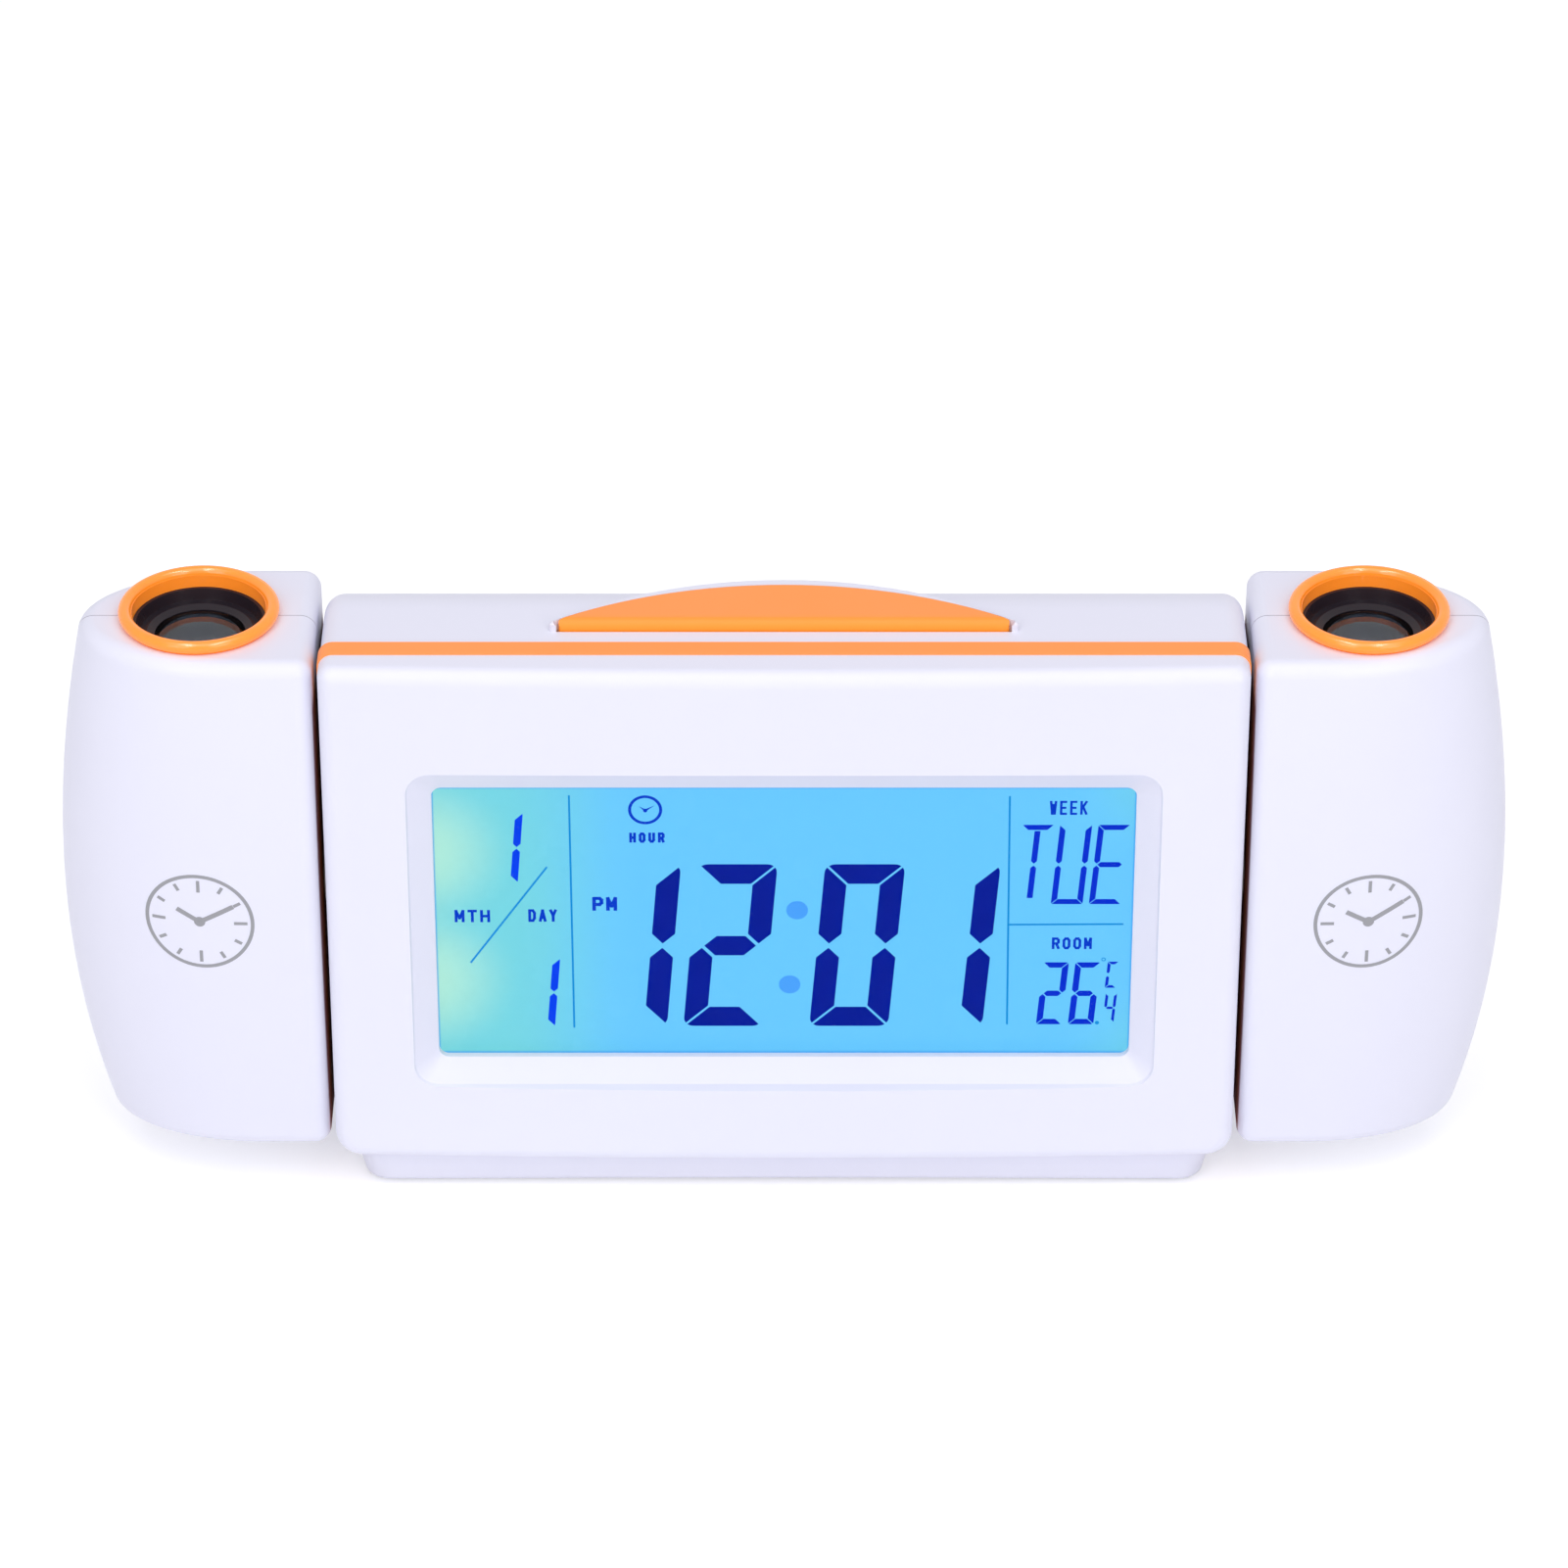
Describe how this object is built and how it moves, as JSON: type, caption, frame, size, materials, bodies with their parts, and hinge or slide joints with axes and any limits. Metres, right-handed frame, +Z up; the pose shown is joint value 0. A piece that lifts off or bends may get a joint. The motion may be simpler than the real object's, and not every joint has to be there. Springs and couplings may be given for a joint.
{
  "type": "projection alarm clock",
  "caption": "Desktop digital alarm clock with a backlit display, a curved snooze bar on top and a swivelling projector pod with a focus ring at each side.",
  "frame": {"origin": "on the table, under the middle of the clock, at the centre of the bounding box underside", "axes": "+X to the right as seen from the front, +Y from the front to the back, +Z up"},
  "size_m": [0.2168, 0.0364, 0.096],
  "materials": {
    "white_plastic": "gloss",
    "orange_plastic": "gloss",
    "black_plastic": "satin",
    "acetal": "satin",
    "grey_plastic": "satin",
    "clear_acrylic": "polished",
    "lcd": "polished",
    "guide_acrylic": "satin",
    "lens_glass": "polished",
    "lamp_resin": "gloss",
    "circuit_board": "satin",
    "steel": "plated",
    "brass": "polished",
    "rubber": "matte",
    "cell_jacket": "gloss",
    "cable": "matte"
  },
  "bodies": {
    "clock_body": {"front_bezel": "white_plastic", "trim_band": "orange_plastic", "rear_shell": "white_plastic", "base_foot": "white_plastic", "rubber_feet": "rubber", "display_window": "clear_acrylic", "display_glass": "lcd", "light_guide": "guide_acrylic", "backlight_lamps": "lamp_resin", "contact_strip": "rubber", "display_frame": "grey_plastic", "main_board": "circuit_board", "board_components": "black_plastic", "key_board": "circuit_board", "key_switches": "black_plastic", "snooze_board": "circuit_board", "snooze_switch": "black_plastic", "snooze_springs": "steel", "selector_switch": "steel", "power_jack": "black_plastic", "buzzer_disc": "brass", "battery_cells": "cell_jacket", "battery_contacts": "steel", "battery_springs": "steel", "case_screws": "steel", "board_screws": "steel", "friction_washers": "acetal", "body_leads": "cable", "ribbon_cable": "grey_plastic"},
    "snooze_bar": {"snooze_bar": "orange_plastic"},
    "mode_key": {"mode_key": "grey_plastic"},
    "set_key": {"set_key": "grey_plastic"},
    "up_key": {"up_key": "grey_plastic"},
    "down_key": {"down_key": "grey_plastic"},
    "selector_knob": {"selector_knob": "black_plastic"},
    "battery_door": {"battery_door": "white_plastic"},
    "right_pod": {"right_pod_front_shell": "white_plastic", "right_pod_rear_shell": "white_plastic", "right_pod_screws": "steel", "right_swivel_hub": "acetal", "right_swivel_clip": "steel", "right_projector_tube": "black_plastic", "right_display_slide": "lcd", "right_lamp_board": "circuit_board", "right_pod_lead": "cable"},
    "right_focus_ring": {"right_focus_ring": "orange_plastic"},
    "right_lens_barrel": {"right_lens_barrel": "black_plastic", "right_projector_lens": "lens_glass"},
    "left_pod": {"left_pod_front_shell": "white_plastic", "left_pod_rear_shell": "white_plastic", "left_pod_screws": "steel", "left_swivel_hub": "acetal", "left_swivel_clip": "steel", "left_projector_tube": "black_plastic", "left_display_slide": "lcd", "left_lamp_board": "circuit_board", "left_pod_lead": "cable"},
    "left_focus_ring": {"left_focus_ring": "orange_plastic"},
    "left_lens_barrel": {"left_lens_barrel": "black_plastic", "left_projector_lens": "lens_glass"}
  },
  "joints": [
    {"name": "snooze_press", "type": "slide", "parent": "clock_body", "child": "snooze_bar", "axis": [0, 0, -1], "range_m": [0, 0.0012], "stiffness_N_per_m": 1000, "springref_m": -0.0008, "deforming": ["snooze_springs"]},
    {"name": "mode_press", "type": "slide", "parent": "clock_body", "child": "mode_key", "axis": [0, -1, 0], "range_m": [0, 0.0008], "stiffness_N_per_m": 1200, "springref_m": -0.0005},
    {"name": "set_press", "type": "slide", "parent": "clock_body", "child": "set_key", "axis": [0, -1, 0], "range_m": [0, 0.0008], "stiffness_N_per_m": 1200, "springref_m": -0.0005},
    {"name": "up_press", "type": "slide", "parent": "clock_body", "child": "up_key", "axis": [0, -1, 0], "range_m": [0, 0.0008], "stiffness_N_per_m": 1200, "springref_m": -0.0005},
    {"name": "down_press", "type": "slide", "parent": "clock_body", "child": "down_key", "axis": [0, -1, 0], "range_m": [0, 0.0008], "stiffness_N_per_m": 1200, "springref_m": -0.0005},
    {"name": "selector_slide", "type": "slide", "parent": "clock_body", "child": "selector_knob", "axis": [1, 0, 0], "range_m": [0, 0.003]},
    {"name": "battery_door_pull", "type": "slide", "parent": "clock_body", "child": "battery_door", "axis": [0, 1, 0], "range_m": [0, 0.02]},
    {"name": "right_pod_swivel", "type": "hinge", "parent": "clock_body", "child": "right_pod", "pos_m": [0.0689, 0, 0.0509], "axis": [1, 0, 0], "range_deg": [-90, 90]},
    {"name": "right_focus_turn", "type": "hinge", "parent": "right_pod", "child": "right_focus_ring", "pos_m": [0.08615, 0, 0.0918], "axis": [0, 0, 1], "range_deg": [-90, 90]},
    {"name": "right_lens_travel", "type": "slide", "parent": "right_pod", "child": "right_lens_barrel", "axis": [0, 0, 1], "range_m": [-0.00075, 0.00075]},
    {"name": "left_pod_swivel", "type": "hinge", "parent": "clock_body", "child": "left_pod", "pos_m": [-0.0689, 0, 0.0509], "axis": [1, 0, 0], "range_deg": [-90, 90]},
    {"name": "left_focus_turn", "type": "hinge", "parent": "left_pod", "child": "left_focus_ring", "pos_m": [-0.08615, 0, 0.0918], "axis": [0, 0, 1], "range_deg": [-90, 90]},
    {"name": "left_lens_travel", "type": "slide", "parent": "left_pod", "child": "left_lens_barrel", "axis": [0, 0, 1], "range_m": [-0.00075, 0.00075]}
  ],
  "couplings": [
    {"joint": "right_focus_turn", "follows": "right_lens_travel", "rad_per_m": 2094.4},
    {"joint": "left_focus_turn", "follows": "left_lens_travel", "rad_per_m": 2094.4}
  ]
}
